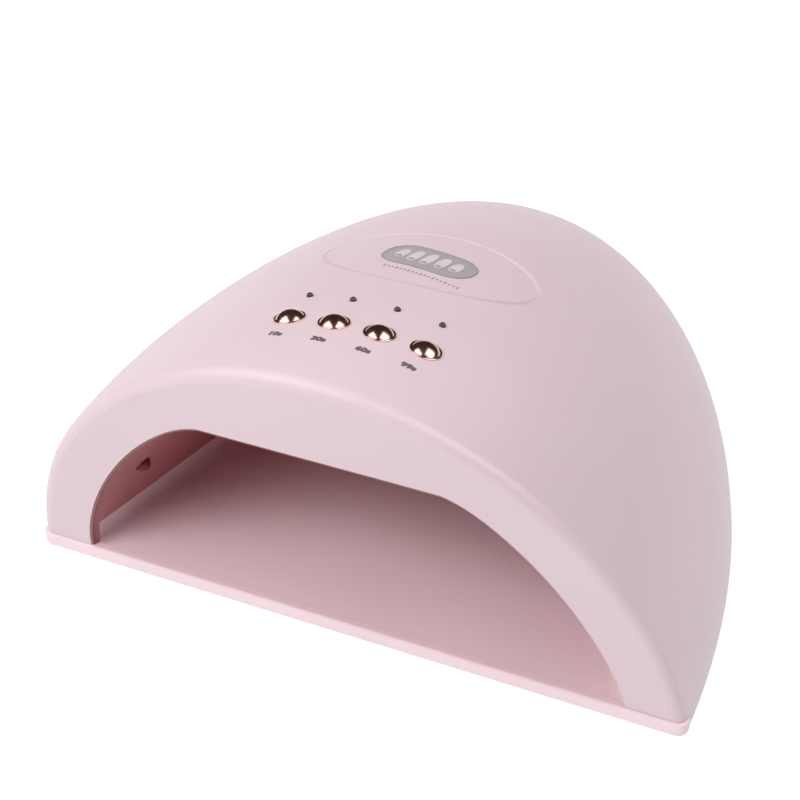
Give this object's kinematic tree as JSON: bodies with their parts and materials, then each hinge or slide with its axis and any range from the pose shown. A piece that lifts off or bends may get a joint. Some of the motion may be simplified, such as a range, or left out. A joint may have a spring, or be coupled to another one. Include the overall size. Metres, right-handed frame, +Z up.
{
  "type": "uv led nail lamp",
  "caption": "Domed nail curing lamp with a forward-leaning arched mouth, round push buttons on top and a lift-off tray under the hand cavity.",
  "frame": {"origin": "under the middle of the lamp's bounding box, on the plane that the rubber feet stand on", "axes": "+Z up, -Y out of the mouth where the hand goes in, +X to the right as seen from the mouth"},
  "size_m": [0.2038, 0.218, 0.1054],
  "materials": {
    "shell_pink": "fine satin moulded",
    "liner_pink": "satin moulded",
    "tray_pink": "satin moulded",
    "foot_rubber": "soft grey",
    "magnet_nickel": "nickel plated",
    "zinc_steel": "zinc plated",
    "board_laminate": "green solder mask",
    "lamp_board_white": "white solder mask on aluminium",
    "switch_black": "moulded",
    "plunger_white": "moulded",
    "chip_black": "moulded epoxy",
    "coil_ferrite": "ferrite",
    "capacitor_sleeve": "bare can",
    "connector_white": "nylon",
    "indicator_diode": "clear epoxy",
    "pipe_smoke": "smoked acrylic",
    "rose_chrome": "polished rose gold plating",
    "rose_bezel": "rose gold plating",
    "badge_grey": "silver grey print",
    "bead_violet": "clear silicone over a violet emitter",
    "lead_pvc": "pvc",
    "jack_black": "moulded",
    "pin_nickel": "nickel plated brass"
  },
  "bodies": {
    "base": {"base_tray": "tray_pink", "tray_magnets": "magnet_nickel", "rubber_feet": "foot_rubber"},
    "housing": {"outer_shell": "shell_pink", "inner_shell": "liner_pink", "keeper_discs": "zinc_steel", "shell_screws": "zinc_steel", "control_board": "board_laminate", "board_screws": "zinc_steel", "tact_switches": "switch_black", "microcontroller": "chip_black", "power_transistor": "chip_black", "inductor": "coil_ferrite", "filter_capacitor": "capacitor_sleeve", "board_connector": "connector_white", "indicator_leds": "indicator_diode", "light_pipes": "pipe_smoke", "button_bezels": "rose_bezel", "badge_plate": "badge_grey", "lamp_board_left": "lamp_board_white", "lamp_board_right": "lamp_board_white", "lamp_board_top": "lamp_board_white", "lamp_board_screws": "zinc_steel", "lamp_beads_left": "bead_violet", "lamp_beads_right": "bead_violet", "lamp_beads_top": "bead_violet", "power_lead": "lead_pvc", "lamp_leads": "lead_pvc", "dc_jack_body": "jack_black", "dc_jack_pin": "pin_nickel", "dc_jack_nut": "pin_nickel"},
    "button_1": {"button_cap_1": "rose_chrome", "switch_plunger_1": "plunger_white"},
    "button_2": {"button_cap_2": "rose_chrome", "switch_plunger_2": "plunger_white"},
    "button_3": {"button_cap_3": "rose_chrome", "switch_plunger_3": "plunger_white"},
    "button_4": {"button_cap_4": "rose_chrome", "switch_plunger_4": "plunger_white"}
  },
  "joints": [
    {"name": "housing_lift", "type": "slide", "parent": "base", "child": "housing", "axis": [0, 0, 1], "range_m": [0, 0.12]},
    {"name": "button_1_press", "type": "slide", "parent": "housing", "child": "button_1", "axis": [0.2071, -0.1686, -0.9637], "range_m": [0, 0.0005], "stiffness_N_per_m": 1200, "springref_m": -0.0004},
    {"name": "button_2_press", "type": "slide", "parent": "housing", "child": "button_2", "axis": [0.0693, -0.1767, -0.9818], "range_m": [0, 0.0005], "stiffness_N_per_m": 1200, "springref_m": -0.0004},
    {"name": "button_3_press", "type": "slide", "parent": "housing", "child": "button_3", "axis": [-0.0693, -0.1767, -0.9818], "range_m": [0, 0.0005], "stiffness_N_per_m": 1200, "springref_m": -0.0004},
    {"name": "button_4_press", "type": "slide", "parent": "housing", "child": "button_4", "axis": [-0.2071, -0.1686, -0.9637], "range_m": [0, 0.0005], "stiffness_N_per_m": 1200, "springref_m": -0.0004}
  ]
}
